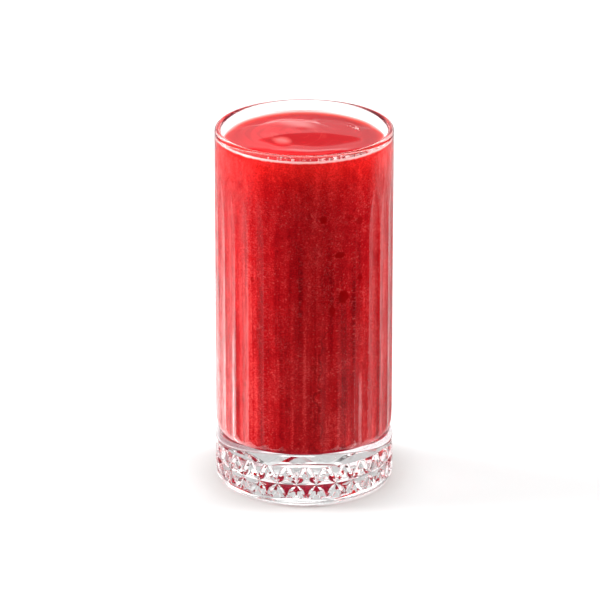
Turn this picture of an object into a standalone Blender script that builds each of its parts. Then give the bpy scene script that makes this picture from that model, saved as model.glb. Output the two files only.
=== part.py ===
# Raspberry smoothie in a tall pressed glass with a star-cut foot ring.
# Metres, +Z up, origin on the table under the middle of the foot.

import math

import bmesh
import bpy

# Glass, overall
HEIGHT = 0.1526
BODY_RADIUS = 0.03655
RIM_WALL = 0.0027             # wall thickness at the drinking rim

# Cavity
FLOOR_HEIGHT = 0.0205
CAVITY_BOTTOM_RADIUS = 0.0330
CAVITY_CORNER = 0.0060        # rounding between floor and wall

# Flutes pressed into the outside of the wall
FLUTE_COUNT = 30
FLUTE_DEPTH = 0.0005
FLUTE_TURN = math.radians(2.4)  # of the flutes against the stars
FLUTE_FADE_START = 0.110      # above this height the flutes grow shallow
FLUTE_FADE_END = 0.134        # and here they have gone

# Waist between the wall and the foot ring
WAIST_HEIGHT = 0.0231
WAIST_RADIUS = 0.03553
SHOULDER_RADIUS = 0.0179      # rounding of the wall down to the waist

# Foot ring
RING_RADIUS = 0.0368
RING_TOP = 0.0178
FOOT_FLAT_RADIUS = 0.03345
DISH_RADIUS = 0.0285          # shallow recess under the foot
DISH_BEND = 0.0015            # rounding of its edge
DISH_DEPTH = 0.0003
DIMPLE_RADIUS = 0.0165        # round dimple in the middle of it
DIMPLE_DEPTH = 0.0018

# Star cuts: V grooves at 60 degrees either way and one level groove meet in six-armed stars
STAR_COUNT = 28
STAR_HEIGHT = 0.0099          # of the points where three grooves meet
STAR_DEPTH = 0.0005
ROWS_ABOVE_STAR = 6
ROWS_BELOW_STAR = 5

# Smoothie
FILL_HEIGHT = 0.1475
CLEARANCE = 0.0003            # gap between drink and glass

# Swirl left on the drink by pouring: a long hollow, a crescent lip behind it and a knob in it
HOLLOW_DEPTH = 0.0015
HOLLOW_CENTRE = (0.0025, -0.0075)
HOLLOW_WIDTH = 0.0155         # from its centre to its edge along Y
HOLLOW_STRETCH = 1.6          # and this many times as far along X
LIP_RISE = 0.0003
LIP_CENTRE = (-0.0045, 0.0065)
LIP_RADIUS = 0.0150
LIP_SIDE = math.radians(95)   # where the lip is highest
LIP_INSIDE = 0.0080           # gentle slope inside its crest
LIP_OUTSIDE = 0.0023          # and a steep one outside
KNOB_PLACE = (-0.0090, -0.0022)
KNOB_RISE = 0.00036
KNOB_WIDTH = 0.0035

# Rise of the drink against the glass, highest at -Y
CREEP_BACK = 0.0004
CREEP_FRONT = 0.0009
CREEP_SPREAD = 1.6            # how soon it reaches its full height on the way round
CREEP_WIDTH = 0.0020

# Facets round each piece
FLUTE_FACETS = 4
STAR_FACETS = 6               # even, so that a facet edge runs along every groove
DRINK_COLUMNS = 56
DRINK_RINGS = 14
RING_CROWDING = 1.4           # rings stand closer together near the glass
DIMPLE_RINGS = 3

RIM_RADIUS = RIM_WALL / 2
FLUTE_PITCH = 2 * math.pi / FLUTE_COUNT
STAR_PITCH = 2 * math.pi / STAR_COUNT
STAR_FACET = STAR_PITCH / STAR_FACETS
STAR_ROW = RING_RADIUS * STAR_FACET * math.sin(math.radians(60))
BAND_BOTTOM = STAR_HEIGHT - ROWS_BELOW_STAR * STAR_ROW
SHOULDER_HEIGHT = WAIST_HEIGHT + math.sqrt(
    SHOULDER_RADIUS ** 2 - (SHOULDER_RADIUS - BODY_RADIUS + WAIST_RADIUS) ** 2)


def clear_scene():
    for item in list(bpy.data.objects):
        bpy.data.objects.remove(item, do_unlink=True)


def new_material(name, colour, roughness, transmission):
    material = bpy.data.materials.new(name)
    material.use_nodes = True
    shader = material.node_tree.nodes["Principled BSDF"]
    shader.inputs["Base Color"].default_value = (*colour, 1.0)
    shader.inputs["Roughness"].default_value = roughness
    shader.inputs["Metallic"].default_value = 0.0
    shader.inputs["Transmission Weight"].default_value = transmission
    return material


def arc(centre, radii, start, end, steps):
    # Points on an ellipse in the (radius, height) plane, angles in degrees
    points = []
    for step in range(steps + 1):
        angle = math.radians(start + (end - start) * step / steps)
        points.append((centre[0] + radii[0] * math.cos(angle),
                       centre[1] + radii[1] * math.sin(angle)))
    return points


def cavity_outline(gap):
    # From the middle of the floor out to the foot of the cavity's wall
    corner = CAVITY_CORNER - gap
    centre = (CAVITY_BOTTOM_RADIUS - CAVITY_CORNER, FLOOR_HEIGHT + CAVITY_CORNER)
    return [(0.0, FLOOR_HEIGHT + gap)] + arc(centre, (corner, corner), -90, 0, 4)


def cavity_radius(height):
    # The inside of the wall leans out a little towards the rim
    bottom = FLOOR_HEIGHT + CAVITY_CORNER
    rise = (height - bottom) / (HEIGHT - RIM_RADIUS - bottom)
    return CAVITY_BOTTOM_RADIUS + rise * (BODY_RADIUS - RIM_WALL - CAVITY_BOTTOM_RADIUS)


def wall_outline():
    # Cavity floor, inside of the wall, rim, outside of the wall, waist
    rim_centre = (BODY_RADIUS - RIM_RADIUS, HEIGHT - RIM_RADIUS)
    points = cavity_outline(0.0)
    points += arc(rim_centre, (RIM_RADIUS, RIM_RADIUS), 180, 0, 4)
    fade = FLUTE_FADE_END - FLUTE_FADE_START
    points += [(BODY_RADIUS, FLUTE_FADE_END - fade * step / 3) for step in range(4)]
    shoulder_centre = (BODY_RADIUS - SHOULDER_RADIUS, SHOULDER_HEIGHT)
    shoulder_end = -math.degrees(math.asin((SHOULDER_HEIGHT - WAIST_HEIGHT) / SHOULDER_RADIUS))
    points += arc(shoulder_centre, (SHOULDER_RADIUS, SHOULDER_RADIUS), 0, shoulder_end, 4)
    return points


def foot_outline():
    # Top edge of the ring, its star band, the rounded foot and the underside
    rows = range(ROWS_ABOVE_STAR, -ROWS_BELOW_STAR - 1, -1)
    points = [(RING_RADIUS, RING_TOP)]
    points += [(RING_RADIUS, STAR_HEIGHT + row * STAR_ROW) for row in rows]
    foot_radii = (RING_RADIUS - FOOT_FLAT_RADIUS, BAND_BOTTOM)
    points += arc((FOOT_FLAT_RADIUS, BAND_BOTTOM), foot_radii, 0, -90, 3)[1:]
    points += [(DISH_RADIUS, 0.0), (DISH_RADIUS - DISH_BEND, DISH_DEPTH)]
    for ring in range(DIMPLE_RINGS + 1):
        out = 1 - ring / DIMPLE_RINGS
        points.append((DIMPLE_RADIUS * out, DISH_DEPTH + DIMPLE_DEPTH * (1 - out ** 2)))
    return points


def turned(name, outline, steps):
    # Mesh of a (radius, height) outline turned about Z by a Screw modifier
    mesh = bpy.data.meshes.new(name)
    edges = [(i, i + 1) for i in range(len(outline) - 1)]
    mesh.from_pydata([(r, 0.0, z) for r, z in outline], edges, [])
    item = bpy.data.objects.new(name, mesh)
    bpy.context.scene.collection.objects.link(item)
    screw = item.modifiers.new("Turn", "SCREW")
    screw.axis = "Z"
    screw.angle = 2 * math.pi
    screw.steps = steps
    screw.render_steps = steps
    screw.use_merge_vertices = True
    screw.merge_threshold = 0.00001
    graph = bpy.context.evaluated_depsgraph_get()
    result = bpy.data.meshes.new_from_object(item.evaluated_get(graph))
    bpy.data.objects.remove(item, do_unlink=True)
    return result


def place(vertex, radius, angle):
    vertex.co.x = radius * math.cos(angle)
    vertex.co.y = radius * math.sin(angle)


def press_flutes(mesh):
    # Hollow flutes meet in upright ridges and run out at the shoulder and below the rim
    fade = FLUTE_FADE_END - FLUTE_FADE_START
    for vertex in mesh.vertices:
        radius = math.hypot(vertex.co.x, vertex.co.y)
        angle = math.atan2(vertex.co.y, vertex.co.x)
        if radius > cavity_radius(vertex.co.z) + RIM_WALL / 2 and vertex.co.z <= FLUTE_FADE_END:
            across = 2 * ((angle / FLUTE_PITCH) % 1.0) - 1
            faded = max(0.0, (vertex.co.z - FLUTE_FADE_START) / fade) ** 1.5
            hollow = FLUTE_DEPTH * max(0.0, 1 - across ** 2 - faded)
            radius = min(radius, BODY_RADIUS - hollow)
        place(vertex, radius, angle + FLUTE_TURN)


def press_stars(mesh):
    # Every other row turns by half a facet, so that facet edges run at 60 degrees.
    # Vertices on a groove line sink, the others stay on the ring.
    for vertex in mesh.vertices:
        radius = math.hypot(vertex.co.x, vertex.co.y)
        row = round((vertex.co.z - STAR_HEIGHT) / STAR_ROW)
        in_band = -ROWS_BELOW_STAR < row <= ROWS_ABOVE_STAR
        on_row = abs(vertex.co.z - STAR_HEIGHT - row * STAR_ROW) < CLEARANCE / 10
        if radius < RING_RADIUS - CLEARANCE or not in_band or not on_row:
            continue
        facet = round(math.atan2(vertex.co.y, vertex.co.x) / STAR_FACET) + (row % 2) / 2
        leaning = (facet - STAR_FACETS / 2 - row / 2) % STAR_FACETS
        mirrored = (facet - STAR_FACETS / 2 + row / 2) % STAR_FACETS
        cut = row == 0 or leaning == 0 or mirrored == 0
        place(vertex, radius - (STAR_DEPTH if cut else 0.0), facet * STAR_FACET)


def open_loop(bm):
    return [edge for edge in bm.edges if edge.is_boundary]


def make_glass(parts):
    # Wall and foot are turned apart, for flutes and stars differ in number,
    # and the ledge from the waist down to the ring bridges their open ends
    wall = turned("wall", wall_outline(), FLUTE_COUNT * FLUTE_FACETS)
    press_flutes(wall)
    foot = turned("foot", foot_outline(), STAR_COUNT * STAR_FACETS)
    press_stars(foot)
    bm = bmesh.new()
    bm.from_mesh(wall)
    bm.from_mesh(foot)
    bmesh.ops.bridge_loops(bm, edges=open_loop(bm))
    bmesh.ops.triangulate(bm, faces=bm.faces[:], quad_method="SHORT_EDGE")
    bmesh.ops.recalc_face_normals(bm, faces=bm.faces[:])
    mesh = bpy.data.meshes.new("glass")
    bm.to_mesh(mesh)
    bm.free()
    mesh.shade_smooth()
    mesh.set_sharp_from_angle(angle=math.radians(16))
    mesh.materials.append(new_material("clear glass", (0.95, 0.97, 0.97), 0.02, 1.0))
    parts.objects.link(bpy.data.objects.new("glass", mesh))


def swirl_height(x, y):
    # Height of the drink's top at (x, y) over its level
    across = math.hypot((x - HOLLOW_CENTRE[0]) / HOLLOW_STRETCH, y - HOLLOW_CENTRE[1])
    hollow = HOLLOW_DEPTH * max(0.0, 1 - (across / HOLLOW_WIDTH) ** 2) ** 1.5
    dx = x - LIP_CENTRE[0]
    dy = y - LIP_CENTRE[1]
    side = max(0.0, math.cos(math.atan2(dy, dx) - LIP_SIDE))
    from_crest = math.hypot(dx, dy) - LIP_RADIUS
    width = LIP_OUTSIDE if from_crest > 0 else LIP_INSIDE
    lip = LIP_RISE * side ** 1.5 * math.exp(-(from_crest / width) ** 2)
    from_knob = math.hypot(x - KNOB_PLACE[0], y - KNOB_PLACE[1])
    knob = KNOB_RISE * math.exp(-(from_knob / KNOB_WIDTH) ** 2)
    to_front = min(1.0, CREEP_SPREAD * (0.5 - 0.5 * math.sin(math.atan2(y, x))))
    climb = CREEP_BACK + (CREEP_FRONT - CREEP_BACK) * to_front
    wall = cavity_radius(FILL_HEIGHT) - CLEARANCE
    creep = climb * math.exp((math.hypot(x, y) - wall) / CREEP_WIDTH)
    return lip - hollow + knob + creep


def drink_outline():
    wall = cavity_radius(FILL_HEIGHT) - CLEARANCE
    shares = [1 - (1 - ring / DRINK_RINGS) ** RING_CROWDING for ring in range(DRINK_RINGS + 1)]
    return [(wall * share, FILL_HEIGHT) for share in shares] + list(reversed(cavity_outline(CLEARANCE)))


def make_smoothie(parts):
    mesh = turned("smoothie", drink_outline(), DRINK_COLUMNS)
    for vertex in mesh.vertices:
        if vertex.co.z > FILL_HEIGHT - CLEARANCE:
            vertex.co.z += swirl_height(vertex.co.x, vertex.co.y)
    mesh.shade_smooth()
    mesh.set_sharp_from_angle(angle=math.radians(50))
    mesh.materials.append(new_material("raspberry smoothie", (0.62, 0.03, 0.04), 0.35, 0.0))
    parts.objects.link(bpy.data.objects.new("smoothie", mesh))


clear_scene()
collection = bpy.data.collections.new("raspberry_smoothie")
bpy.context.scene.collection.children.link(collection)
make_glass(collection)
make_smoothie(collection)
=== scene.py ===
import math
import random

import bmesh
import bpy
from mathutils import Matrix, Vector, noise as bumpy


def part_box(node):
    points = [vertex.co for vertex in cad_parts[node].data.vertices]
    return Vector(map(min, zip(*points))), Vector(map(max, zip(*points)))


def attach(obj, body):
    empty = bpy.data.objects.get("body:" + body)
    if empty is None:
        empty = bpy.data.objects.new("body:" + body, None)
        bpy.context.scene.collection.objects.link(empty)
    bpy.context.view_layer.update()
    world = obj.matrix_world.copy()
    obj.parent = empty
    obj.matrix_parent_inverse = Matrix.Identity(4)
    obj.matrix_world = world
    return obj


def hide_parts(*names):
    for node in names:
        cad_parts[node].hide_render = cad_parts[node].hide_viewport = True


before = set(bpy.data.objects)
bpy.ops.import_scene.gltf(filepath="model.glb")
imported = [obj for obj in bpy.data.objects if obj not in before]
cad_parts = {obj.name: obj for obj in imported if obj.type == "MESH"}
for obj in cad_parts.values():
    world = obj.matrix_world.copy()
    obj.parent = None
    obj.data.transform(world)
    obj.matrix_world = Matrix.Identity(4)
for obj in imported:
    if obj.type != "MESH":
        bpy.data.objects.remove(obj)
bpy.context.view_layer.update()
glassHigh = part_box("glass")[1]

mm = 0.001


# node graphs, for shaders and for geometry alike
class Wire:
    # wraps one socket, so that an expression on it adds its Math nodes
    def __init__(self, graph, socket):
        self.graph = graph
        self.socket = socket

    def calc(self, operation, *others):
        return self.graph.add("ShaderNodeMath", {"operation": operation}, (self, *others))

    def __add__(self, other):
        return self.calc("ADD", other)

    def __radd__(self, other):
        return self.calc("ADD", other)

    def __sub__(self, other):
        return self.calc("SUBTRACT", other)

    def __rsub__(self, other):
        return self.graph.add("ShaderNodeMath", {"operation": "SUBTRACT"}, (other, self))

    def __mul__(self, other):
        return self.calc("MULTIPLY", other)

    def __rmul__(self, other):
        return self.calc("MULTIPLY", other)

    def __truediv__(self, other):
        return self.calc("DIVIDE", other)

    def __rtruediv__(self, other):
        return self.graph.add("ShaderNodeMath", {"operation": "DIVIDE"}, (other, self))

    def __mod__(self, other):
        return self.calc("FLOORED_MODULO", other)

    def __neg__(self):
        return self.calc("MULTIPLY", -1.0)


class Graph:
    def __init__(self, tree):
        self.tree = tree

    def add(self, kind, settings=None, inputs=(), out=0):
        # settings first, as they decide which sockets there are
        node = self.tree.nodes.new(kind)
        for name, value in (settings or {}).items():
            if name == "stops":
                elements = node.color_ramp.elements
                while len(elements) < len(value):
                    elements.new(1.0)
                for element, (place, colour) in zip(elements, value):
                    element.position = place
                    element.color = (*colour, 1.0)
            else:
                setattr(node, name, value)
        pairs = inputs.items() if isinstance(inputs, dict) else enumerate(inputs)
        for key, value in pairs:
            self.plug(node.inputs[key], value)
        return Wire(self, node.outputs[out])

    def blend(self, first, second, share):
        # two colours mixed
        inputs = {"Factor": share, "A": first, "B": second}
        return self.add("ShaderNodeMix", {"data_type": "RGBA"}, inputs, "Result")

    def plug(self, socket, value):
        if isinstance(value, Wire):
            self.tree.links.new(value.socket, socket)
        elif value is not None:
            socket.default_value = value

    def rest(self, wire, name):
        # another output of the node that a wire comes from
        return Wire(self, wire.socket.node.outputs[name])


def ramp(graph, value, low, high):
    # 0 at low and 1 at high, with soft ends
    return graph.add("ShaderNodeMapRange", {"interpolation_type": "SMOOTHSTEP"},
                     {"Value": value, "From Min": low, "From Max": high})


def band(graph, value, edges):
    # 1 between the middle two of four edges, and 0 outside the outer two
    return ramp(graph, value, edges[0], edges[1]) * ramp(graph, value, edges[3], edges[2])


def mottle(graph, where, scale, detail, roughness=0.5, distortion=0.0):
    return graph.add("ShaderNodeTexNoise", {}, {
        "Vector": where, "Scale": scale, "Detail": detail, "Roughness": roughness,
        "Distortion": distortion})


def objectPlace(graph):
    return graph.add("ShaderNodeTexCoord", out="Object")


def apart(graph, vector):
    x = graph.add("ShaderNodeSeparateXYZ", {}, [vector])
    return x, graph.rest(x, "Y"), graph.rest(x, "Z")


def distance(x, y):
    return (x * x + y * y).calc("SQRT")


def turnFromFront(x, y):
    # in radians, left of the front being negative
    return x.calc("ARCTAN2", -y)


def newMaterial(name):
    material = bpy.data.materials.new(name)
    material.use_nodes = True
    material.node_tree.nodes.clear()
    return material, Graph(material.node_tree)


def finishMaterial(graph, shader):
    output = graph.tree.nodes.new("ShaderNodeOutputMaterial")
    graph.plug(output.inputs["Surface"], shader)


def newObject(name, data):
    item = bpy.data.objects.new(name, data)
    bpy.context.scene.collection.objects.link(item)
    return item


def meshFrom(bm, name):
    mesh = bpy.data.meshes.new(name)
    bm.to_mesh(mesh)
    bm.free()
    return mesh


# the clear glass
pressedGlass = {
    "height": glassHigh.z,
    "bodyRadius": 36.55 * mm,
    "rimWall": 2.7 * mm,
    "floorHeight": 20.5 * mm,
    "cavityBottomRadius": 33.0 * mm,
    "cavityCorner": 6.0 * mm,
    "waistHeight": 23.1 * mm,
    "waistRadius": 35.53 * mm,
    "shoulderRadius": 17.9 * mm,
    "ringRadius": glassHigh.x,
    "ringTop": 17.8 * mm,
    "footFlatRadius": 33.45 * mm,
    "dishRadius": 28.5 * mm,
    "dishDepth": 0.3 * mm,
    "dishBend": 1.5 * mm,
    "dimpleRadius": 16.5 * mm,
    "dimpleDepth": 1.8 * mm,
    "edgeRound": 0.6 * mm,
    "archTop": 1.0 * mm,           # from the shoulder up to where the flutes' arches end
    "sharpAngle": math.radians(17),
    "flutes": {
        "count": 30,
        "depth": 0.5 * mm,
        "fadeStart": 110 * mm,
        "fadeEnd": 134 * mm,
        "fadeFall": 1.5,           # above 1, they keep their depth longer
        "facets": 18,              # columns of faces across one flute
        "turn": math.radians(2.4),
    },
    "stars": {
        "count": 28,
        "height": 9.9 * mm,        # of the points where three grooves meet
        "depth": 0.7 * mm,
        "crossing": math.radians(60),      # between its grooves
        "grooveCells": 3.6,        # half the width of a groove, in rows of faces
        "facets": 18,              # columns of faces across one star
        "rowsAbove": 18,
        "rowsBelow": 15,
    },
    # how many steps each part of the outline has
    "steps": {
        "cavityFloor": 4,
        "cavityCorner": 14,
        "insideWall": 6,
        "rim": 22,
        "plainWall": 3,
        "fadingFlutes": 16,
        "flutedWall": 6,
        "shoulder": 26,
        "ledge": 8,
        "ledgeEdge": 5,
        "footRound": 12,
        "dishBend": 5,
        "dish": 4,
        "dimple": 12,
    },
    "finish": {
        "colour": (0.985, 0.992, 0.992, 1.0),
        "ior": 1.5,
        "waves": (90.0, 2.0),      # slight waves of pressed glass: scale and detail
        "waveStrength": 0.25,
        "waveDepth": 0.02 * mm,
        "smears": (35.0, 4.0),     # faint, in how clearly it mirrors
        "smearRoughness": 0.02,
    },
}

weldDistance = 0.002 * mm          # points nearer than this become one
flutes = pressedGlass["flutes"]
stars = pressedGlass["stars"]
stars["cell"] = 2 * math.pi / (stars["count"] * stars["facets"])
stars["row"] = pressedGlass["ringRadius"] * stars["cell"] * math.sin(stars["crossing"])
bandBottom = stars["height"] - stars["rowsBelow"] * stars["row"]


def arc(centre, radii, start, end, steps):
    points = []
    for step in range(steps + 1):
        angle = math.radians(start + (end - start) * step / steps)
        out = centre[0] + radii[0] * math.cos(angle)
        points.append((out, centre[1] + radii[1] * math.sin(angle)))
    return points


def run(start, end, steps):
    # points on a straight line, without its first one
    across = (end[0] - start[0]) / steps
    rise = (end[1] - start[1]) / steps
    return [(start[0] + across * step, start[1] + rise * step) for step in range(1, steps + 1)]


def cavityRadius(height):
    g = pressedGlass
    bottom = g["floorHeight"] + g["cavityCorner"]
    rise = (height - bottom) / (g["height"] - g["rimWall"] / 2 - bottom)
    rimRadius = g["bodyRadius"] - g["rimWall"]
    return g["cavityBottomRadius"] + rise * (rimRadius - g["cavityBottomRadius"])


def cavityOutline(grow, steps):
    # middle of the floor, along it, and up the corner to the foot of the wall
    g = pressedGlass
    corner = g["cavityCorner"] + grow
    centre = (g["cavityBottomRadius"] - g["cavityCorner"], g["floorHeight"] + g["cavityCorner"])
    bend = arc(centre, (corner, corner), -90, 0, steps)
    middle = (0.0, g["floorHeight"] - grow)
    return [middle] + run(middle, bend[0], g["steps"]["cavityFloor"])[:-1] + bend


def wallOutline():
    g = pressedGlass
    steps = g["steps"]
    half = g["rimWall"] / 2
    points = cavityOutline(0.0, steps["cavityCorner"])
    rim = arc((g["bodyRadius"] - half, g["height"] - half), (half, half), 180, 0, steps["rim"])
    points += run(points[-1], rim[0], steps["insideWall"])[:-1] + rim
    points += run(rim[-1], (g["bodyRadius"], flutes["fadeEnd"]), steps["plainWall"])
    points += run(points[-1], (g["bodyRadius"], flutes["fadeStart"]), steps["fadingFlutes"])
    bend = g["shoulderRadius"]
    drop = bend - g["bodyRadius"] + g["waistRadius"]
    shoulderRise = math.sqrt(bend ** 2 - drop ** 2)
    shoulderHeight = g["waistHeight"] + shoulderRise
    points += run(points[-1], (g["bodyRadius"], shoulderHeight + g["archTop"]), steps["flutedWall"])
    end = -math.degrees(math.asin(shoulderRise / bend))
    points += arc((g["bodyRadius"] - bend, shoulderHeight), (bend, bend), 0, end, steps["shoulder"])
    return points


def footOutline():
    g = pressedGlass
    steps = g["steps"]
    waist = (g["waistRadius"], g["waistHeight"])
    ringTop = (g["ringRadius"], g["ringTop"])
    steep = math.degrees(math.atan2(waist[1] - ringTop[1], ringTop[0] - waist[0]))
    centre = (g["ringRadius"] - g["edgeRound"], g["ringTop"])
    bend = arc(centre, (g["edgeRound"], g["edgeRound"]), 90 - steep, 0, steps["ledgeEdge"])
    points = run(waist, bend[0], steps["ledge"])[:-1] + bend[:-1]
    rows = range(stars["rowsAbove"], -stars["rowsBelow"] - 1, -1)
    points += [(g["ringRadius"], stars["height"] + row * stars["row"]) for row in rows]
    radii = (g["ringRadius"] - g["footFlatRadius"], bandBottom)
    points += arc((g["footFlatRadius"], bandBottom), radii, 0, -90, steps["footRound"])[1:]
    # shallow recess with a round dimple in its middle
    centre = (g["dishRadius"] - g["dishBend"], 0.0)
    points += arc(centre, (g["dishBend"], g["dishDepth"]), 0, 90, steps["dishBend"])
    edge = (g["dimpleRadius"], g["dishDepth"])
    points += run(points[-1], edge, steps["dish"])
    for step in range(1, steps["dimple"] + 1):
        out = 1 - step / steps["dimple"]
        points.append((edge[0] * out, edge[1] + g["dimpleDepth"] * (1 - out ** 2)))
    return points


def geometryTree(name, inputs):
    tree = bpy.data.node_groups.new(name, "GeometryNodeTree")
    tree.interface.new_socket("Geometry", in_out="INPUT", socket_type="NodeSocketGeometry")
    for label, kind in inputs.items():
        tree.interface.new_socket(label, in_out="INPUT", socket_type="NodeSocket" + kind)
    tree.interface.new_socket("Geometry", in_out="OUTPUT", socket_type="NodeSocketGeometry")
    graph = Graph(tree)
    sockets = graph.add("NodeGroupInput").socket.node.outputs
    return graph, {socket.name: Wire(graph, socket) for socket in sockets if socket.name}


def closeTree(graph, geometry, material):
    real = graph.add("GeometryNodeRealizeInstances", {}, [geometry])
    done = graph.add("GeometryNodeSetMaterial", {}, {"Geometry": real, "Material": material})
    output = graph.tree.nodes.new("NodeGroupOutput")
    graph.plug(output.inputs[0], done)


def setInput(modifier, label, value):
    for item in modifier.node_group.interface.items_tree:
        if item.item_type == "SOCKET" and item.in_out == "INPUT" and item.name == label:
            modifier[item.identifier] = value


def turnedGrid(graph, entry):
    # a sheet of faces, one row for each point of the outline and one column for each facet
    columns = entry["Columns"]
    rows = entry["Rows"]
    grid = graph.add("GeometryNodeMeshGrid", {}, {"Vertices X": columns + 1, "Vertices Y": rows})
    index = graph.add("GeometryNodeInputIndex")
    row = index % rows
    column = (index / rows).calc("FLOOR")
    place = graph.add("GeometryNodeInputPosition")
    outline = graph.add("GeometryNodeSampleIndex", {"data_type": "FLOAT_VECTOR"},
                        {"Geometry": entry["Geometry"], "Value": place, "Index": row})
    radius, _, height = apart(graph, outline)
    return grid, row, column, radius, height


def closeTurned(graph, grid, radius, angle, height, material):
    x = radius * angle.calc("COSINE")
    y = radius * angle.calc("SINE")
    place = graph.add("ShaderNodeCombineXYZ", {}, [x, y, height])
    shaped = graph.add("GeometryNodeSetPosition", {}, {"Geometry": grid, "Position": place})
    weld = {"Geometry": shaped, "Distance": weldDistance}
    welded = graph.add("GeometryNodeMergeByDistance", {}, weld)
    closeTree(graph, welded, material)


def flutedTree():
    # hollow flutes meet in upright ridges, and fade out below the rim and at the shoulder
    graph, entry = geometryTree("flutedWall", {
        "Columns": "Int", "Rows": "Int", "Flutes": "Int", "Depth": "Float",
        "Fade start": "Float", "Fade end": "Float", "Body radius": "Float",
        "First outer row": "Int", "Turn": "Float", "Material": "Material"})
    grid, row, column, radius, height = turnedGrid(graph, entry)
    angle = column * (2 * math.pi) / entry["Columns"]
    across = (column * entry["Flutes"] / entry["Columns"] % 1.0) * 2.0 - 1.0
    fade = (height - entry["Fade start"]) / (entry["Fade end"] - entry["Fade start"])
    faded = fade.calc("MAXIMUM", 0.0).calc("POWER", flutes["fadeFall"])
    hollow = (1.0 - across * across - faded).calc("MAXIMUM", 0.0) * entry["Depth"]
    pressed = (entry["Body radius"] - hollow).calc("MINIMUM", radius)
    outside = (row + 0.5).calc("GREATER_THAN", entry["First outer row"])
    shaped = radius + (pressed - radius) * outside
    closeTurned(graph, grid, shaped, angle + entry["Turn"], height, entry["Material"])
    return graph.tree


def starTree():
    # every other row of the band turns by half a facet, so that edges run along each groove
    graph, entry = geometryTree("starCutFoot", {
        "Columns": "Int", "Rows": "Int", "Stars": "Int", "Depth": "Float",
        "Groove half width": "Float", "Star height": "Float", "Row height": "Float",
        "Rows above": "Float", "Rows below": "Float", "Material": "Material"})
    grid, row, column, radius, height = turnedGrid(graph, entry)
    level = ((height - entry["Star height"]) / entry["Row height"]).calc("ROUND")
    above = (level - 0.5).calc("LESS_THAN", entry["Rows above"])
    below = (level + entry["Rows below"]).calc("GREATER_THAN", 0.5)
    inBand = above * below
    facets = entry["Columns"] / entry["Stars"]
    facet = column + (level % 2.0) * 0.5 * inBand
    half = facets * 0.5
    leaning = ((facet - level * 0.5) % facets - half).calc("ABSOLUTE")
    mirrored = ((facet + level * 0.5) % facets - half).calc("ABSOLUTE")
    near = leaning.calc("MINIMUM", mirrored).calc("MINIMUM", level.calc("ABSOLUTE"))
    share = (1.0 - near / entry["Groove half width"]).calc("MAXIMUM", 0.0)
    shaped = radius - share * entry["Depth"] * inBand
    angle = facet * (2 * math.pi) / entry["Columns"]
    closeTurned(graph, grid, shaped, angle, height, entry["Material"])
    return graph.tree


def outlineObject(name, outline):
    mesh = bpy.data.meshes.new(name)
    places = [(radius, 0.0, height) for radius, height in outline]
    mesh.from_pydata(places, [(i, i + 1) for i in range(len(outline) - 1)], [])
    return newObject(name, mesh)


def grown(item, tree, values):
    # the plain mesh that a geometry tree makes of an object, which then goes
    modifier = item.modifiers.new("Nodes", "NODES")
    modifier.node_group = tree
    for label, value in values.items():
        setInput(modifier, label, value)
    graph = bpy.context.evaluated_depsgraph_get()
    mesh = bpy.data.meshes.new_from_object(item.evaluated_get(graph))
    bpy.data.objects.remove(item, do_unlink=True)
    return mesh


def glassMaterial():
    finish = pressedGlass["finish"]
    material, graph = newMaterial("clearGlass")
    place = objectPlace(graph)
    waves = mottle(graph, place, *finish["waves"])
    bump = graph.add("ShaderNodeBump", {}, {
        "Strength": finish["waveStrength"], "Distance": finish["waveDepth"], "Height": waves})
    smears = mottle(graph, place, *finish["smears"])
    glass = graph.add("ShaderNodeBsdfPrincipled", {}, {
        "Base Color": finish["colour"], "Roughness": smears * finish["smearRoughness"],
        "IOR": finish["ior"], "Transmission Weight": 1.0, "Normal": bump})
    finishMaterial(graph, glass)
    return material


def makeGlass():
    material = glassMaterial()
    outline = wallOutline()
    outside = pressedGlass["bodyRadius"] - weldDistance
    firstOuter = next(i for i, point in enumerate(outline) if point[0] >= outside)
    wall = grown(outlineObject("wallOutline", outline), flutedTree(), {
        "Columns": flutes["count"] * flutes["facets"], "Rows": len(outline),
        "Flutes": flutes["count"], "Depth": flutes["depth"],
        "Fade start": flutes["fadeStart"], "Fade end": flutes["fadeEnd"],
        "Body radius": pressedGlass["bodyRadius"], "First outer row": firstOuter,
        "Turn": flutes["turn"], "Material": material})
    outline = footOutline()
    foot = grown(outlineObject("footOutline", outline), starTree(), {
        "Columns": stars["count"] * stars["facets"], "Rows": len(outline),
        "Stars": stars["count"], "Depth": stars["depth"],
        "Groove half width": stars["grooveCells"], "Star height": stars["height"],
        "Row height": stars["row"], "Rows above": stars["rowsAbove"],
        "Rows below": stars["rowsBelow"], "Material": material})
    bm = bmesh.new()
    bm.from_mesh(wall)
    bm.from_mesh(foot)
    bmesh.ops.bridge_loops(bm, edges=[edge for edge in bm.edges if edge.is_boundary])
    bmesh.ops.triangulate(bm, faces=bm.faces[:], quad_method="SHORT_EDGE")
    bmesh.ops.recalc_face_normals(bm, faces=bm.faces[:])
    mesh = meshFrom(bm, "glassBody")
    mesh.materials.clear()
    mesh.materials.append(material)
    mesh.shade_smooth()
    mesh.set_sharp_from_angle(angle=pressedGlass["sharpAngle"])
    for edge in mesh.edges:
        # the ridges between flutes are fire-polished round
        height = mesh.vertices[edge.vertices[0]].co.z
        if edge.use_edge_sharp and height > pressedGlass["waistHeight"]:
            edge.use_edge_sharp = False
    return newObject("glassBody", mesh)


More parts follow.
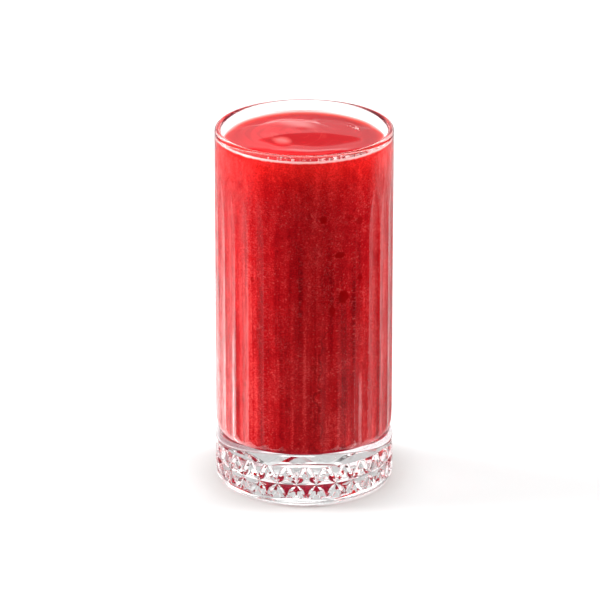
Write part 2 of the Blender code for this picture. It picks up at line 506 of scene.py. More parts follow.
# the smoothie
drink = {
    "level": 147.5 * mm,
    "intoWall": 0.15 * mm,         # how far it reaches into the glass, so that no air shows
    "columns": 240,
    "rings": 90,
    "cornerSteps": 12,
    "sharpAngle": math.radians(60),
    "hollow": 1.5 * mm,            # long hollow left by the stream
    "hollowCentre": (2.5 * mm, -7.5 * mm),
    "hollowWidth": 15.5 * mm,      # from its centre to its edge, along Y
    "hollowStretch": 1.6,          # and so many times that along X
    "hollowFall": 1.5,             # above 1, its edge runs out more softly
    "lip": 0.30 * mm,              # crescent ridge behind it
    "lipCentre": (-4.5 * mm, 6.5 * mm),
    "lipRadius": 15.0 * mm,
    "lipSide": math.radians(95),
    "lipFall": 1.5,                # how fast it dies away to its ends
    "lipInside": 8.0 * mm,         # gentle slope inside the crest and steep one outside
    "lipOutside": 2.3 * mm,
    "knob": 0.36 * mm,             # low knob where the stream ended
    "knobPlace": (-9.0 * mm, -2.2 * mm),
    "knobWidth": 3.5 * mm,
    "ripple": 0.22 * mm,           # slight unevenness all over
    "rippleScale": 95.0,
    "rippleFall": 6,               # it stops short of the glass
    "creepBack": 0.9 * mm,         # how far it climbs the wall
    "creepFront": 2.2 * mm,
    "creepWidth": 1.6 * mm,
    "creepReach": 1.6,             # how far round from the front it stays at its highest
    # scale, detail, roughness and distortion of what it is mixed of
    "noises": {
        "clouds": (70.0, 4.0, 0.55, 0.6),
        "streaks": (230.0, 3.0, 0.55, 0.4),
        "columns": (330.0, 2.0, 0.6),
        "froth": (420.0, 3.0, 0.6),
        "grain": (1500.0, 1.5, 0.8),
        "curls": (460.0, 1.0, 0.5, 1.6),
        "veinBends": (160.0, 2.0),
        "poolEdge": (110.0, 2.0),
        "rings": (1.0, 2.0, 0.5, 0.5),
    },
    "wall": {
        "radius": 33.5 * mm,       # turns round the axis become lengths with it
        "streakStretch": (1.0, 1.0, 0.14),
        "columnStretch": (1.0, 1.0, 0.02),
        "columnHeights": (132 * mm, 92 * mm),  # the upright columns set in between these
        "shares": {"columns": 0.42, "streaks": 0.18, "clouds": 0.10, "froth": 0.12, "grain": 0.32},
        "base": 0.145,
        "stops": [
            (0.39, (0.24, 0.001, 0.004)),
            (0.46, (0.44, 0.003, 0.007)),
            (0.54, (0.58, 0.009, 0.013)),
            (0.62, (0.78, 0.056, 0.056)),
        ],
        "fleck": {"scale": 640.0, "size": (0.32, 0.14), "patches": (0.42, 0.62),
                  "colour": (0.90, 0.20, 0.17, 1.0), "share": 0.24},
        "thread": {"width": (0.045, 0.008), "patches": (0.36, 0.62),
                   "colour": (0.86, 0.13, 0.12, 1.0), "share": 0.30},
        "lumpColour": (0.34, 0.0, 0.001, 1.0),
        "lumpEdge": (1.1, 0.75),
        "lumpRagged": 1.1,
        "lumps": [
            # degrees round from the front, height, half width and half height, strength
            (11.6, 124.9 * mm, 1.5 * mm, 1.7 * mm, 0.9),
            (25.8, 90.4 * mm, 2.8 * mm, 3.1 * mm, 0.95),
            (23.2, 108.8 * mm, 2.2 * mm, 1.5 * mm, 0.9),
            (18.0, 85.2 * mm, 1.4 * mm, 2.8 * mm, 0.85),
            (38.6, 121.9 * mm, 2.0 * mm, 1.8 * mm, 0.6),
            (39.0, 97.0 * mm, 1.5 * mm, 1.3 * mm, 0.8),
            (16.0, 108.0 * mm, 1.0 * mm, 1.6 * mm, 0.6),
            (5.0, 61.0 * mm, 1.6 * mm, 1.2 * mm, 0.5),
            (31.0, 124.5 * mm, 1.6 * mm, 1.2 * mm, 0.6),
            (-39.0, 97.0 * mm, 1.1 * mm, 1.2 * mm, 0.6),
            (-46.0, 50.0 * mm, 1.2 * mm, 1.0 * mm, 0.5),
            (150.0, 70.0 * mm, 2.0 * mm, 2.4 * mm, 0.7),
            (-120.0, 112.0 * mm, 2.2 * mm, 1.6 * mm, 0.7),
            (95.0, 60.0 * mm, 1.6 * mm, 1.9 * mm, 0.6),
        ],
        "vein": {
            "turn": math.radians(7.0),
            "bend": math.radians(15.0),
            "bendHeight": 48 * mm,
            "bendLength": 42 * mm,
            "wander": math.radians(16.0),
            "width": (0.56 * mm, 0.14 * mm),
            "heights": (26 * mm, 32 * mm, 88 * mm, 96 * mm),
            "gaps": (0.42, 0.50),
            "colour": (0.24, 0.001, 0.003, 1.0),
            "share": 0.6,
        },
        "litHeights": (125 * mm, 149 * mm),
        "litDark": (0.53, 0.002, 0.004, 1.0),
        "litLight": (0.90, 0.020, 0.017, 1.0),
        "litMix": (0.43, 0.60),
        "litShare": 0.85,
        "film": (1.0, 0.72, 0.70, 1.0),    # pale froth where it climbs the glass in front, partly a painted highlight along the front contact line
        "filmHeights": (147.65 * mm, 148.4 * mm),
        "filmFront": (14 * mm, -14 * mm),
        "filmDrop": 1.0 * mm,
        "filmRagged": 0.8 * mm,
        "edge": (0.13, 0.002, 0.013, 1.0),  # painted shade, a deeper red along the top of the wall under the rim
        "rimShadeGlow": (0.03, 0.0, 0.002, 1.0),
        "rimShadeHeights": (144.0 * mm, 146.8 * mm),
        "rimShadeRadius": (33.88 * mm, 33.92 * mm),
        "rimShadeSides": (-12 * mm, 4 * mm),
        "rimShadeBack": (18 * mm, 33 * mm),
        "rimShadeBackLoss": 0.5,
        "under": (0.45, 0.022, 0.050, 1.0),
        "underHeights": (25.0 * mm, 20.6 * mm),
        "glow": (0.18, 0.006, 0.004, 1.0),  # light that comes in from the top
        "glowHeights": (137 * mm, 148 * mm),
    },
    "top": {
        "heights": (145.7 * mm, 146.0 * mm),
        "radius": (33.75 * mm, 33.65 * mm),
        "left": (0.47, 0.006, 0.010, 1.0),
        "right": (0.32, 0.004, 0.008, 1.0),
        "leftToRight": (8 * mm, -14 * mm),
        "poolShade": (0.32, 0.002, 0.005, 1.0),  # painted shade, darker behind the hollow than the more lit top round it
        "poolCentre": (4.0 * mm, 1.5 * mm),
        "poolRadius": (4.9 * mm, 8.05 * mm),
        "poolStretch": 2.8,
        "poolWander": 7.0 * mm,
        "ringPattern": (0.6, 0.6, 210.0),  # round, round and outwards
        "ringMiddle": 0.1 * mm,
        "ringDark": (0.30, 0.002, 0.005, 1.0),
        "ringDarkEdge": (0.50, 0.36),
        "ringDarkShare": 0.55,
        "ringLight": (0.50, 0.034, 0.031, 1.0),
        "ringLightEdge": (0.54, 0.68),
        "ringLightShare": 0.38,
        "thinFront": (0.49, 0.028, 0.019, 1.0),    # where it thins out against the glass
        "thinBack": (0.74, 0.060, 0.036, 1.0),
        "frontToBack": (4 * mm, 24 * mm),
        "thinRadius": (29.5 * mm, 34.5 * mm),
        "thinWander": 1.5 * mm,
        # painted highlight on the far side of the knob
        "knob": (0.62, 0.085, 0.080, 1.0),
        "highlightShift": 2.0 * mm,
        "highlightRadius": (4.8 * mm, 1.6 * mm),
        "highlightRagged": 1.5 * mm,
        "highlightShare": 0.8,
        "wellShade": (0.17, 0.001, 0.004, 1.0),  # dark juice between the bubbles, with painted shade round them
        "wellRagged": 5 * mm,
        "wellCore": 0.5,           # how much of one is fully dark
        "wellShare": 0.85,
        "wells": [
            # degrees round from the front, distance from the axis, radius
            (43.0, 30.4 * mm, 2.6 * mm),
            (33.0, 29.6 * mm, 2.2 * mm),
            (25.0, 30.6 * mm, 1.6 * mm),
            (54.0, 32.0 * mm, 1.8 * mm),
            (-13.0, 29.5 * mm, 1.5 * mm),
            (-19.0, 29.8 * mm, 1.3 * mm),
        ],
        "gloss": 0.75,
        "dullLoss": 0.71,          # duller in front, where fine froth gathers
        "dullFront": (-9.0 * mm, -13.0 * mm),
        "dullWander": 5 * mm,
    },
    "surface": {
        "roughness": 0.5,
        "bumpStrength": 0.3,
        "bumpDepth": 0.1 * mm,
        "coatIor": 1.34,
        "coatRoughness": 0.06,
    },
}

black = (0.0, 0.0, 0.0, 1.0)
white = (1.0, 1.0, 1.0, 1.0)


def swirlHeight(x, y):
    d = drink
    fromAxis = math.hypot(x, y)
    rim = cavityRadius(d["level"])
    across = math.hypot((x - d["hollowCentre"][0]) / d["hollowStretch"], y - d["hollowCentre"][1])
    hollow = d["hollow"] * max(0.0, 1 - (across / d["hollowWidth"]) ** 2) ** d["hollowFall"]
    dx = x - d["lipCentre"][0]
    dy = y - d["lipCentre"][1]
    side = max(0.0, math.cos(math.atan2(dy, dx) - d["lipSide"]))
    fromCrest = math.hypot(dx, dy) - d["lipRadius"]
    width = d["lipOutside"] if fromCrest > 0 else d["lipInside"]
    lip = d["lip"] * side ** d["lipFall"] * math.exp(-(fromCrest / width) ** 2)
    fromKnob = math.hypot(x - d["knobPlace"][0], y - d["knobPlace"][1])
    knob = d["knob"] * math.exp(-(fromKnob / d["knobWidth"]) ** 2)
    toFront = 0.5 - 0.5 * math.sin(math.atan2(y, x))
    share = min(1.0, d["creepReach"] * toFront)
    climb = d["creepBack"] + (d["creepFront"] - d["creepBack"]) * share
    creep = climb * math.exp((fromAxis - rim) / d["creepWidth"])
    ripple = d["ripple"] * bumpy.noise(Vector((x, y, 0.0)) * d["rippleScale"])
    ripple *= 1 - min(1.0, fromAxis / rim) ** d["rippleFall"]
    return lip - hollow + knob + creep + ripple


def stretched(graph, place, by):
    return graph.add("ShaderNodeVectorMath", {"operation": "MULTIPLY"}, [place, by])


def frothyPulp(graph, place, height, clouds, froth):
    # pulp drawn out upwards along the wall, with fine grain, pale flecks and curling threads
    w = drink["wall"]
    noises = drink["noises"]
    share = w["shares"]
    streaks = mottle(graph, stretched(graph, place, w["streakStretch"]), *noises["streaks"])
    columns = mottle(graph, stretched(graph, place, w["columnStretch"]), *noises["columns"])
    grain = mottle(graph, place, *noises["grain"])
    low = ramp(graph, height, *w["columnHeights"])
    upright = (columns - 0.5) * low * share["columns"] + streaks * share["streaks"] + w["base"]
    mix = clouds * share["clouds"] + upright + froth * share["froth"] + grain * share["grain"]
    colour = graph.add("ShaderNodeValToRGB", {"stops": w["stops"]}, [mix])
    k = w["fleck"]
    seeds = graph.add("ShaderNodeTexVoronoi", {"feature": "F1"},
                      {"Vector": place, "Scale": k["scale"]})
    fleck = ramp(graph, seeds, *k["size"]) * ramp(graph, froth, *k["patches"])
    colour = graph.blend(colour, k["colour"], fleck * k["share"])
    k = w["thread"]
    curls = (mottle(graph, place, *noises["curls"]) - 0.5).calc("ABSOLUTE")
    thread = ramp(graph, curls, *k["width"]) * ramp(graph, clouds, *k["patches"])
    return graph.blend(colour, k["colour"], thread * k["share"]), mix, streaks


def withLumps(graph, colour, around, height, froth):
    # dark lumps of fruit, each with a ragged edge
    w = drink["wall"]
    ragged = (froth - 0.5) * w["lumpRagged"]
    for turn, level, wide, tall, strength in w["lumps"]:
        across = (around - math.radians(turn)) * (w["radius"] / wide)
        away = distance(across, (height - level) / tall) + ragged
        lump = ramp(graph, away, *w["lumpEdge"]) * strength
        colour = graph.blend(colour, w["lumpColour"], lump)
    return colour


def withVein(graph, colour, place, around, height, streaks):
    # a thin dark vein that winds down the front
    v = drink["wall"]["vein"]
    rise = (height - v["bendHeight"]) / v["bendLength"]
    bends = (mottle(graph, place, *drink["noises"]["veinBends"]) - 0.5) * v["wander"]
    path = rise * rise * v["bend"] + v["turn"] + bends
    aside = (around - path).calc("ABSOLUTE") * drink["wall"]["radius"]
    vein = ramp(graph, aside, *v["width"]) * ramp(graph, streaks, *v["gaps"])
    return graph.blend(colour, v["colour"], vein * band(graph, height, v["heights"]) * v["share"])


def topOfDrink(graph, place, x, y, fromAxis, clouds, froth):
    # smooth and rosy, paler and more orange where it thins out against the glass
    t = drink["top"]
    noises = drink["noises"]
    colour = graph.blend(t["right"], t["left"], ramp(graph, x, *t["leftToRight"]))
    # painted shade: a darker pool behind the hollow, with the top round it painted lighter
    poolX = (x - t["poolCentre"][0]) / t["poolStretch"]
    wander = (mottle(graph, place, *noises["poolEdge"]) - 0.5) * t["poolWander"]
    fromPool = distance(poolX, y - t["poolCentre"][1]) + wander
    colour = graph.blend(t["poolShade"], colour, ramp(graph, fromPool, *t["poolRadius"]))
    # drawn out in rings by the stirring
    ringX = x - drink["lipCentre"][0]
    ringY = y - drink["lipCentre"][1]
    out = distance(ringX, ringY) + t["ringMiddle"]
    p = t["ringPattern"]
    pattern = [ringX / out * p[0], ringY / out * p[1], out * p[2]]
    rings = mottle(graph, graph.add("ShaderNodeCombineXYZ", {}, pattern), *noises["rings"])
    dark = ramp(graph, rings, *t["ringDarkEdge"]) * t["ringDarkShare"]
    colour = graph.blend(colour, t["ringDark"], dark)
    light = ramp(graph, rings, *t["ringLightEdge"]) * t["ringLightShare"]
    colour = graph.blend(colour, t["ringLight"], light)
    paler = graph.blend(t["thinFront"], t["thinBack"], ramp(graph, y, *t["frontToBack"]))
    thin = ramp(graph, fromAxis + clouds * t["thinWander"], *t["thinRadius"])
    colour = graph.blend(colour, paler, thin)
    # painted highlight on the far side of the knob
    highlightX = x - drink["knobPlace"][0]
    highlightY = y - drink["knobPlace"][1] - t["highlightShift"]
    fromKnob = distance(highlightX, highlightY) + (froth - 0.5) * t["highlightRagged"]
    knob = ramp(graph, fromKnob, *t["highlightRadius"]) * t["highlightShare"]
    colour = graph.blend(colour, t["knob"], knob)
    # dark juice and painted shade round the bubble clusters
    for turn, out, size in t["wells"]:
        wellX = x - out * math.sin(math.radians(turn))
        wellY = y + out * math.cos(math.radians(turn))
        away = distance(wellX, wellY) + (froth - 0.5) * t["wellRagged"]
        wellShade = ramp(graph, away, size, size * t["wellCore"]) * t["wellShare"]
        colour = graph.blend(colour, t["wellShade"], wellShade)
    return colour


def smoothieMaterial():
    w = drink["wall"]
    t = drink["top"]
    noises = drink["noises"]
    material, graph = newMaterial("raspberrySmoothie")
    place = objectPlace(graph)
    x, y, height = apart(graph, place)
    around = turnFromFront(x, y)
    fromAxis = distance(x, y)
    clouds = mottle(graph, place, *noises["clouds"])
    froth = mottle(graph, place, *noises["froth"])
    colour, mix, streaks = frothyPulp(graph, place, height, clouds, froth)
    colour = withLumps(graph, colour, around, height, froth)
    colour = withVein(graph, colour, place, around, height, streaks)
    # lighter and warmer where light comes in from the top
    sunny = graph.blend(w["litDark"], w["litLight"], ramp(graph, mix, *w["litMix"]))
    lit = ramp(graph, height, *w["litHeights"]) * w["litShare"]
    colour = graph.blend(colour, sunny, lit)
    surface = ramp(graph, height, *t["heights"]) * ramp(graph, fromAxis, *t["radius"])
    top = topOfDrink(graph, place, x, y, fromAxis, clouds, froth)
    colour = graph.blend(colour, top, surface)
    dull = ramp(graph, y + (clouds - 0.5) * t["dullWander"], *t["dullFront"])
    gloss = surface * (t["gloss"] - dull * t["dullLoss"])
    # pale froth at the front contact line, partly a painted highlight
    toFront = ramp(graph, y, *w["filmFront"])
    ragged = (froth - 0.5) * toFront * w["filmRagged"]
    film = ramp(graph, height + ragged - toFront * w["filmDrop"], *w["filmHeights"])
    colour = graph.blend(colour, w["film"], film)
    # painted shade: deeper red along the top of the wall, at the sides and behind, that darkens the
    # rim's outline
    edge = ramp(graph, height, *w["rimShadeHeights"]) * ramp(graph, fromAxis, *w["rimShadeRadius"])
    behind = 1.0 - ramp(graph, y, *w["rimShadeBack"]) * w["rimShadeBackLoss"]
    edge = edge * ramp(graph, y, *w["rimShadeSides"]) * behind
    colour = graph.blend(colour, w["edge"], edge)
    # little light reaches the underside
    colour = graph.blend(colour, w["under"], ramp(graph, height, *w["underHeights"]))
    glow = graph.blend(black, w["glow"], ramp(graph, height, *w["glowHeights"]))
    glow = graph.blend(graph.blend(glow, w["rimShadeGlow"], edge), black, surface)
    s = drink["surface"]
    bump = graph.add("ShaderNodeBump", {}, {
        "Strength": s["bumpStrength"], "Distance": s["bumpDepth"], "Height": froth})
    shader = graph.add("ShaderNodeBsdfPrincipled", {}, {
        "Base Color": colour, "Roughness": s["roughness"], "Specular IOR Level": 0.0,
        "Normal": bump, "Coat Weight": gloss, "Coat IOR": s["coatIor"],
        "Coat Roughness": s["coatRoughness"], "Emission Color": glow, "Emission Strength": 1.0})
    finishMaterial(graph, shader)
    return material


def makeSmoothie():
    d = drink
    wall = cavityRadius(d["level"]) + d["intoWall"]
    rings = [(wall * ring / d["rings"], d["level"]) for ring in range(d["rings"] + 1)]
    outline = rings + list(reversed(cavityOutline(d["intoWall"], d["cornerSteps"])))
    bm = bmesh.new()
    previous = None
    for radius, height in outline:
        loop = []
        for column in range(d["columns"] if radius > 0 else 1):
            angle = 2 * math.pi * column / d["columns"]
            x, y = radius * math.cos(angle), radius * math.sin(angle)
            lift = swirlHeight(x, y) if height == d["level"] else 0.0
            loop.append(bm.verts.new((x, y, height + lift)))
        if previous:
            count = max(len(loop), len(previous))
            for i in range(count):
                j = (i + 1) % count
                corners = [previous[i % len(previous)], loop[i % len(loop)],
                           loop[j % len(loop)], previous[j % len(previous)]]
                bm.faces.new(list(dict.fromkeys(corners)))
        previous = loop
    bmesh.ops.recalc_face_normals(bm, faces=bm.faces[:])
    mesh = meshFrom(bm, "smoothieFill")
    mesh.materials.append(smoothieMaterial())
    mesh.shade_smooth()
    mesh.set_sharp_from_angle(angle=d["sharpAngle"])
    return newObject("smoothieFill", mesh)


# small bubbles along the edge of the drink
bubbles = {
    "seed": 11,
    "subdivisions": 3,
    "stand": 0.55,                 # how far its middle is above the drink, in radii
    "fromGlass": 0.03 * mm,
    "alongEdge": 260,
    "edgeSpread": math.radians(84),
    "edgeSizes": (0.16 * mm, 0.42 * mm),
    "edgeInset": 0.25 * mm,
    "edgeBias": 1.5,               # above 1, small ones are the more common
    "clusterBias": 2.2,
    "colour": (1.0, 0.80, 0.78, 1.0),
    "redder": (0.95, 0.35, 0.34, 1.0),
    "mottle": (700.0, 2.0),        # scale and detail
    "redderEdge": (0.42, 0.62),
    "roughness": 0.08,
    "ior": 1.33,
    "clearness": 0.45,
    "clusters": [
        # degrees round from the front, nearest and farthest from the glass,
        # smallest and largest, how many, and the spread in radians
        (-16.0, 3.0 * mm, 8.0 * mm, 0.25 * mm, 0.85 * mm, 16, 0.13),
        (14.0, 3.0 * mm, 7.5 * mm, 0.25 * mm, 0.60 * mm, 12, 0.14),
        (31.0, 2.0 * mm, 6.5 * mm, 0.28 * mm, 0.95 * mm, 24, 0.13),
        (43.0, 1.5 * mm, 5.0 * mm, 0.30 * mm, 1.25 * mm, 28, 0.10),
        (55.0, 0.5 * mm, 3.0 * mm, 0.25 * mm, 0.80 * mm, 14, 0.08),
        (121.0, 7.5 * mm, 9.5 * mm, 0.20 * mm, 0.50 * mm, 7, 0.08),
    ],
}


def bubbleMaterial():
    b = bubbles
    material, graph = newMaterial("frothBubbles")
    film = mottle(graph, objectPlace(graph), *b["mottle"])
    colour = graph.blend(b["colour"], b["redder"], ramp(graph, film, *b["redderEdge"]))
    shader = graph.add("ShaderNodeBsdfPrincipled", {}, {
        "Base Color": colour, "Roughness": film * b["roughness"], "IOR": b["ior"],
        "Transmission Weight": b["clearness"]})
    finishMaterial(graph, shader)
    return material


def bubbleTree():
    # a ball on every point, as large as the point says
    graph, entry = geometryTree("bubbleBalls", {"Subdivisions": "Int", "Material": "Material"})
    ball = graph.add("GeometryNodeMeshIcoSphere", {}, {
        "Radius": 1.0, "Subdivisions": entry["Subdivisions"]})
    size = graph.add("GeometryNodeInputNamedAttribute", {"data_type": "FLOAT"},
                     {"Name": "ballRadius"})
    points = graph.add("GeometryNodeMeshToPoints", {}, {"Mesh": entry["Geometry"]})
    placed = graph.add("GeometryNodeInstanceOnPoints", {}, {
        "Points": points, "Instance": ball, "Scale": size})
    closeTree(graph, placed, entry["Material"])
    return graph.tree


def bubblePlaces():
    # each rests on the drink, and none touches the glass or another
    b = bubbles
    dice = random.Random(b["seed"])
    wanted = []
    for turn, nearest, farthest, small, large, count, spread in b["clusters"]:
        for _ in range(count):
            radius = small + (large - small) * dice.random() ** b["clusterBias"]
            angle = math.radians(turn) + dice.gauss(0.0, spread)
            wanted.append((radius, angle, dice.uniform(nearest, farthest)))
    wanted.sort(reverse=True)
    small, large = b["edgeSizes"]
    for _ in range(b["alongEdge"]):
        radius = small + (large - small) * dice.random() ** b["edgeBias"]
        angle = dice.uniform(-1.0, 1.0) * b["edgeSpread"]
        wanted.append((radius, angle, b["edgeInset"] * dice.random()))
    placed = []
    for radius, angle, inset in wanted:
        out = cavityRadius(drink["level"]) - b["fromGlass"] - radius - inset
        x, y = out * math.sin(angle), -out * math.cos(angle)
        height = drink["level"] + swirlHeight(x, y) + radius * b["stand"]
        centre = Vector((x, y, height))
        if all((centre - other).length > radius + size for other, size in placed):
            placed.append((centre, radius))
    return placed


def makeBubbles():
    placed = bubblePlaces()
    mesh = bpy.data.meshes.new("bubblePoints")
    mesh.from_pydata([centre for centre, _ in placed], [], [])
    sizes = mesh.attributes.new("ballRadius", "FLOAT", "POINT")
    sizes.data.foreach_set("value", [radius for _, radius in placed])
    mesh = grown(newObject("bubblePoints", mesh), bubbleTree(), {
        "Subdivisions": bubbles["subdivisions"], "Material": bubbleMaterial()})
    mesh.shade_smooth()
    print("bubbles", len(placed))
    return newObject("edgeBubbles", mesh)


# stage, light and camera
stageLook = {
    "floorSize": 8.0,
    "floorColour": (0.30, 0.30, 0.30, 1.0),
    "floorGlow": (0.47, 0.47, 0.47, 1.0),
    "grain": (400.0, 2.0),
    "roughness": (0.6, 0.1),       # least, and how much the grain adds
    "shadeGlow": (0.27, 0.25, 0.24, 1.0),
    "shadeEnd": 64 * mm,
    "shadePower": 2.0,
    "footInside": 33 * mm,
    "footOutside": 36 * mm,
    "underLeft": (0.40, 0.30, 0.32, 1.0),  # light that the glass gathers under its foot
    "underRight": (0.95, 0.92, 0.94, 1.0),
    "underWidth": (-22 * mm, 12 * mm),
    "underWander": 120 * mm,
    "underPatches": (140.0, 2.0),
}

# brightness of the tent by direction, in degrees round from the front, left of it being negative
tent = {
    "dark": 0.06,
    "panels": [
        # brightness, then where it starts and ends, and how far each edge fades
        (0.25, -150.0, -58.0, 30.0),
        (0.18, -80.0, -30.0, 25.0),
        (0.2, 66.0, 140.0, 24.0),
    ],
    "panelTop": (0.45, 0.60),      # heights of a direction, here and below
    "back": 0.85,
    "backStart": (138.0, 152.0),
    "backTop": (0.40, 0.46),
    "dip": 0.6,                    # darker just above the floor's far edge
    "dipBand": (-0.05, 0.05, 0.14, 0.26),
    "gleam": 1.9,
    "gleamBand": (0.10, 0.14, 0.21, 0.27),
    "sky": 0.42,                   # in front and at the sides, from skyStart up
    "skyStart": (0.34, 0.40),
    "backSky": 0.36,
    "top": 1.3,
    "topEdge": (0.72, 0.84),
}

# curved cards round the glass; each light on one has a brightness, a start, end and fade
# in degrees round the glass, and the heights of its full and no light
cards = {
    "lowCard": {
        # mirrors in the outside of the glass only
        "hides": ("visible_transmission",),
        "radius": 0.6,
        "start": -168.0,
        "end": 168.0,
        "bottom": -0.66,
        "top": -0.04,
        "columns": 96,
        "unevenness": 2.6,
        "lights": [
            (0.03, -200.0, 200.0, 10.0, 0.0, 0.01),
            (0.6, -200.0, -54.0, 36.0, 0.0, 0.01),
            (1.75, -170.0, -76.0, 26.0, -0.22, -0.06),
            (0.04, -50.0, 50.0, 20.0, -0.20, -0.12),
            (1.6, -175.0, -22.0, 26.0, -0.44, -0.38),
            (1.1, 22.0, 175.0, 26.0, -0.44, -0.38),
            (0.40, 26.0, 110.0, 22.0, -0.20, -0.12),
            (0.7, 84.0, 200.0, 26.0, 0.0, 0.01),
            (5.0, -124.0, -115.0, 3.5, -0.19, -0.14),
            (2.6, 72.0, 84.0, 5.0, -0.19, -0.17),
        ],
    },
    "highCard": {
        # seen through the glass only
        "hides": ("visible_glossy",),
        "radius": 0.9,
        "start": -180.0,
        "end": 180.0,
        "bottom": 0.36,
        "top": 1.05,
        "columns": 96,
        "unevenness": 1.2,
        "lights": [
            (0.68, -400.0, 400.0, 10.0, 2.0, 2.1),
        ],
    },
}

# light on the cards is uneven, so that the flutes don't mirror it in clean bars
cardCloud = {
    "stretch": (0.18, 75.0),       # round the glass, in degrees, and upwards
    "look": (1.0, 3.0, 0.7),
    "least": 0.1,
}

# lamps that light what is in the glass, and don't mirror in it
fillAim = (0.0, 0.0, 0.08)
fills = [
    # name, place, size, watts
    ("leftFill", (-2.22, 0.38, 0.50), (1.17, 2.0), 272.0),
    ("rightFill", (2.14, 0.35, 0.50), (1.17, 2.0), 166.0),
]

camera = {
    "distance": 1.935,
    "elevation": 21.12,
    "turn": -1.4,                  # degrees to the left of straight in front
    "lens": 281.7,
    "sensor": 36.0,
    "clipEnd": 20.0,
    "imageSize": 600,
    "axisPixel": 304.24,           # where the middle of the glass falls in the picture
    "middlePixel": 302.27,
}

# how often light may pass through the clear glass
lightPaths = {
    "max_bounces": 24,
    "transmission_bounces": 24,
    "transparent_max_bounces": 24,
    "glossy_bounces": 12,
}


def makeFloor():
    k = stageLook
    bpy.ops.mesh.primitive_plane_add(size=k["floorSize"])
    floor = bpy.context.object
    floor.name = "floor"
    floor.visible_glossy = False
    floor.visible_diffuse = False
    material, graph = newMaterial("paleFloor")
    place = objectPlace(graph)
    grain = mottle(graph, place, *k["grain"])
    x, y, _ = apart(graph, place)
    fromAxis = distance(x, y)
    # dimmer close round the foot
    near = ramp(graph, fromAxis, k["shadeEnd"], k["footOutside"]).calc("POWER", k["shadePower"])
    shade = near * ramp(graph, fromAxis, k["footInside"], k["footOutside"])
    glow = graph.blend(k["floorGlow"], k["shadeGlow"], shade)
    wander = (mottle(graph, place, *k["underPatches"]) - 0.5) * k["underWander"]
    toRight = ramp(graph, x + wander, *k["underWidth"])
    under = graph.blend(k["underLeft"], k["underRight"], toRight)
    glow = graph.blend(glow, under, ramp(graph, fromAxis, k["footOutside"], k["footInside"]))
    shader = graph.add("ShaderNodeBsdfPrincipled", {}, {
        "Base Color": k["floorColour"], "Roughness": grain * k["roughness"][1] + k["roughness"][0],
        "Specular IOR Level": 0.0, "Emission Color": glow, "Emission Strength": 1.0})
    finishMaterial(graph, shader)
    floor.data.materials.append(material)


def makeWorld():
    t = tent
    world = bpy.data.worlds.new("lightTent")
    bpy.context.scene.world = world
    world.use_nodes = True
    world.node_tree.nodes.clear()
    graph = Graph(world.node_tree)
    x, y, z = apart(graph, graph.add("ShaderNodeTexCoord", out="Generated"))
    around = turnFromFront(x, y) * (180 / math.pi)
    back = ramp(graph, around.calc("ABSOLUTE"), *t["backStart"])
    dip = band(graph, z, t["dipBand"])
    lowBack = (1.0 - ramp(graph, z, *t["backTop"])) * (1.0 - dip * t["dip"])
    gleam = band(graph, z, t["gleamBand"])
    strength = back * (lowBack * t["back"] + gleam * t["gleam"]) + t["dark"]
    sky = back * (t["backSky"] - t["sky"]) + t["sky"]
    strength = strength + ramp(graph, z, *t["skyStart"]) * sky
    belowTop = 1.0 - ramp(graph, z, *t["panelTop"])
    for bright, start, end, fade in t["panels"]:
        panel = band(graph, around, (start, start + fade, end - fade, end))
        strength = strength + panel * belowTop * bright
    strength = strength + ramp(graph, z, *t["topEdge"]) * t["top"]
    background = graph.add("ShaderNodeBackground", {}, {"Color": white, "Strength": strength})
    output = graph.tree.nodes.new("ShaderNodeOutputWorld")
    graph.plug(output.inputs["Surface"], background)


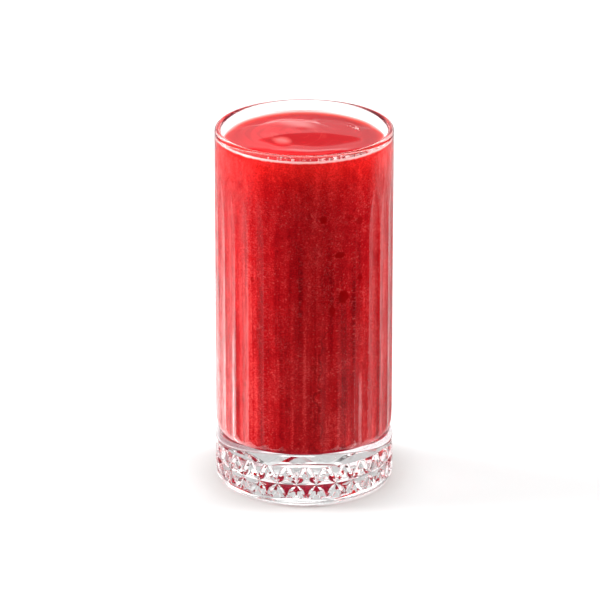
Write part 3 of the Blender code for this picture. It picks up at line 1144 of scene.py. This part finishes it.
def makeCard(name):
    c = cards[name]
    bm = bmesh.new()
    columns = []
    for step in range(c["columns"] + 1):
        turn = math.radians(c["start"] + (c["end"] - c["start"]) * step / c["columns"])
        x, y = c["radius"] * math.sin(turn), -c["radius"] * math.cos(turn)
        columns.append([bm.verts.new((x, y, z)) for z in (c["bottom"], c["top"])])
    for left, right in zip(columns, columns[1:]):
        bm.faces.new((left[0], right[0], right[1], left[1]))
    mesh = meshFrom(bm, name)
    item = newObject(name, mesh)
    for ray in ("visible_camera", "visible_diffuse", "visible_shadow", *c["hides"]):
        setattr(item, ray, False)
    material, graph = newMaterial(name + "Glow")
    x, y, z = apart(graph, objectPlace(graph))
    around = turnFromFront(x, y) * (180 / math.pi)
    light = 0.0
    for bright, start, end, fade, full, unlit in c["lights"]:
        across = band(graph, around, (start, start + fade, end - fade, end))
        light = light + across * ramp(graph, z, unlit, full) * bright
    stretch = cardCloud["stretch"]
    spread = graph.add("ShaderNodeCombineXYZ", {}, [around * stretch[0], z * stretch[1], 0.0])
    cloud = mottle(graph, spread, *cardCloud["look"])
    uneven = (cloud - 0.5) * c["unevenness"] + 1.0
    light = light * uneven.calc("MAXIMUM", cardCloud["least"])
    colour = graph.add("ShaderNodeCombineXYZ", {}, [light, light, light])
    glow = graph.add("ShaderNodeEmission", {}, {"Color": colour, "Strength": 1.0})
    finishMaterial(graph, glow)
    mesh.materials.append(material)


def makeFills():
    for name, place, size, watts in fills:
        light = bpy.data.lights.new(name, "AREA")
        light.shape = "RECTANGLE"
        light.size, light.size_y = size
        light.energy = watts
        item = newObject(name, light)
        item.location = place
        aim = Vector(fillAim) - Vector(place)
        item.rotation_euler = aim.to_track_quat("-Z", "Y").to_euler()
        item.visible_camera = False
        item.visible_glossy = False


def makeCamera():
    c = camera
    data = bpy.data.cameras.new("camera")
    data.lens = c["lens"]
    data.sensor_width = c["sensor"]
    middle = c["imageSize"] / 2
    data.shift_x = (middle - c["axisPixel"]) / c["imageSize"]
    data.shift_y = (c["middlePixel"] - middle) / c["imageSize"]
    data.clip_end = c["clipEnd"]
    item = newObject("camera", data)
    turn = math.radians(c["turn"])
    lift = math.radians(c["elevation"])
    aim = Vector((0.0, 0.0, pressedGlass["height"] / 2))
    level = math.cos(lift)
    away = Vector((math.sin(turn) * level, -math.cos(turn) * level, math.sin(lift)))
    item.location = aim + away * c["distance"]
    item.rotation_euler = (-away).to_track_quat("-Z", "Y").to_euler()
    bpy.context.scene.camera = item


print("stage and light")
makeFloor()
makeWorld()
for name in cards:
    makeCard(name)
makeFills()
makeCamera()
scene = bpy.context.scene
scene.view_settings.view_transform = "Standard"
scene.cycles.use_denoising = True
for name, count in lightPaths.items():
    setattr(scene.cycles, name, count)

print("glass")
glass = makeGlass()
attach(glass, "root")
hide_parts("glass")

print("smoothie")
smoothie = makeSmoothie()
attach(smoothie, "root")
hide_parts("smoothie")

print("bubbles")
froth = makeBubbles()
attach(froth, "root")
